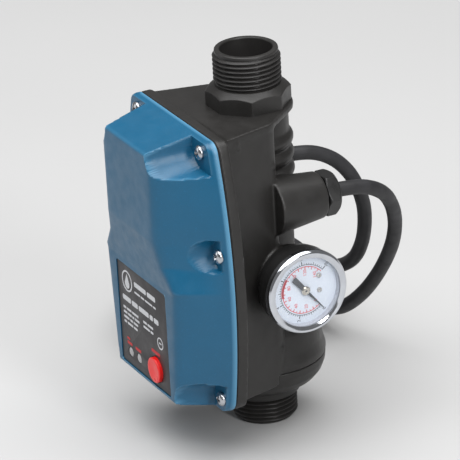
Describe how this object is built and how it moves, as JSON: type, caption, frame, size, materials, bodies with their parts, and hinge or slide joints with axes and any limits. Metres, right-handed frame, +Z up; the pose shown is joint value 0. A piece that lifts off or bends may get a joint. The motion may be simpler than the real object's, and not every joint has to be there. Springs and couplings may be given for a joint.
{
  "type": "pressure switch",
  "caption": "Pump pressure and flow switch with threaded water pipe, front electronics cover, reset button, side pressure gauge and wired leads.",
  "frame": {"origin": "centre of the inlet thread's end face, on the water pipe's axis", "axes": "+Z up along the water pipe from inlet to outlet, -Y towards the blue front cover, +X towards the gauge"},
  "size_m": [0.269, 0.1584, 0.1957],
  "materials": {
    "black_nylon": "fine moulded grain, glass filled",
    "blue_plastic": "fine spark-eroded grain, satin",
    "label_film": "satin printed film",
    "red_plastic": "smooth, slightly glossy",
    "lens_plastic": "milky clear",
    "black_rubber": "matt moulded rubber",
    "cord_jacket": "satin flexible jacket",
    "zinc_steel": "bright zinc plating",
    "chrome_steel": "polished chrome",
    "brass": "turned brass",
    "white_plastic": "smooth acetal",
    "dial_white": "matt white paint",
    "needle_black": "matt black paint",
    "window_clear": "clear pane",
    "board_green": "lacquered board",
    "component_blue": "relay housing",
    "component_orange": "dipped capacitor",
    "component_green": "terminal housing",
    "reed_glass": "glass tube"
  },
  "bodies": {
    "housing": {"body_housing": "black_nylon", "outlet_fitting": "black_nylon", "inlet_base": "black_nylon", "drum_seal": "black_rubber", "valve_seat": "brass", "valve_guide": "white_plastic", "cover_gasket": "black_rubber", "front_cover": "blue_plastic", "cover_screws": "zinc_steel", "label_plate": "label_film", "power_lens": "lens_plastic", "fault_lens": "lens_plastic", "circuit_board": "board_green", "board_screws": "zinc_steel", "relay": "component_blue", "film_capacitor": "component_orange", "electrolytic_capacitor": "black_nylon", "terminal_block": "component_green", "reed_switches": "reed_glass", "indicator_lamps": "lens_plastic", "reset_switch": "black_nylon", "gauge_stem": "brass", "gauge_case": "black_nylon", "gauge_bezel": "chrome_steel", "gauge_window": "window_clear", "gauge_dial": "dial_white", "dial_screws": "zinc_steel", "bourdon_tube": "brass", "movement_plate": "brass", "left_gland_nut": "black_nylon", "right_gland_nut": "black_nylon", "left_gland_seal": "black_rubber", "right_gland_seal": "black_rubber", "supply_lead": "cord_jacket", "supply_coil": "cord_jacket", "supply_tie": "black_nylon", "supply_plug": "black_rubber", "plug_pins": "zinc_steel", "pump_lead": "cord_jacket", "pump_coil": "cord_jacket", "pump_tie": "black_nylon", "pump_lead_ends": "zinc_steel"},
    "check_valve": {"check_valve": "white_plastic", "valve_face": "black_rubber", "flow_magnet": "zinc_steel", "valve_spring": "zinc_steel"},
    "diaphragm_piston": {"diaphragm_piston": "white_plastic", "pressure_magnet": "zinc_steel", "diaphragm": "black_rubber", "diaphragm_spring": "zinc_steel"},
    "reset_button": {"reset_button": "red_plastic", "button_spring": "zinc_steel"},
    "gauge_needle": {"gauge_needle": "needle_black", "needle_arbor": "brass"},
    "sector_gear": {"sector_gear": "brass"}
  },
  "joints": [
    {"name": "valve_lift", "type": "slide", "parent": "housing", "child": "check_valve", "axis": [0, 0, 1], "range_m": [0, 0.009], "stiffness_N_per_m": 150, "springref_m": -0.004, "deforming": ["valve_spring"]},
    {"name": "piston_lift", "type": "slide", "parent": "housing", "child": "diaphragm_piston", "axis": [0, 0, 1], "range_m": [0, 0.003], "stiffness_N_per_m": 4000, "springref_m": -0.01, "deforming": ["diaphragm_spring", "diaphragm"]},
    {"name": "reset_press", "type": "slide", "parent": "housing", "child": "reset_button", "axis": [0, 1, 0], "range_m": [0, 0.0015], "stiffness_N_per_m": 400, "springref_m": -0.002, "deforming": ["button_spring"]},
    {"name": "needle_turn", "type": "hinge", "parent": "housing", "child": "gauge_needle", "pos_m": [0.05, 0, 0.086], "axis": [-1, 0, 0], "range_deg": [0, 270]},
    {"name": "sector_turn", "type": "hinge", "parent": "housing", "child": "sector_gear", "pos_m": [0.046, 0, 0.0725], "axis": [1, 0, 0], "range_deg": [0, 33.75]}
  ],
  "couplings": [
    {"joint": "needle_turn", "follows": "sector_turn", "ratio": 8}
  ]
}
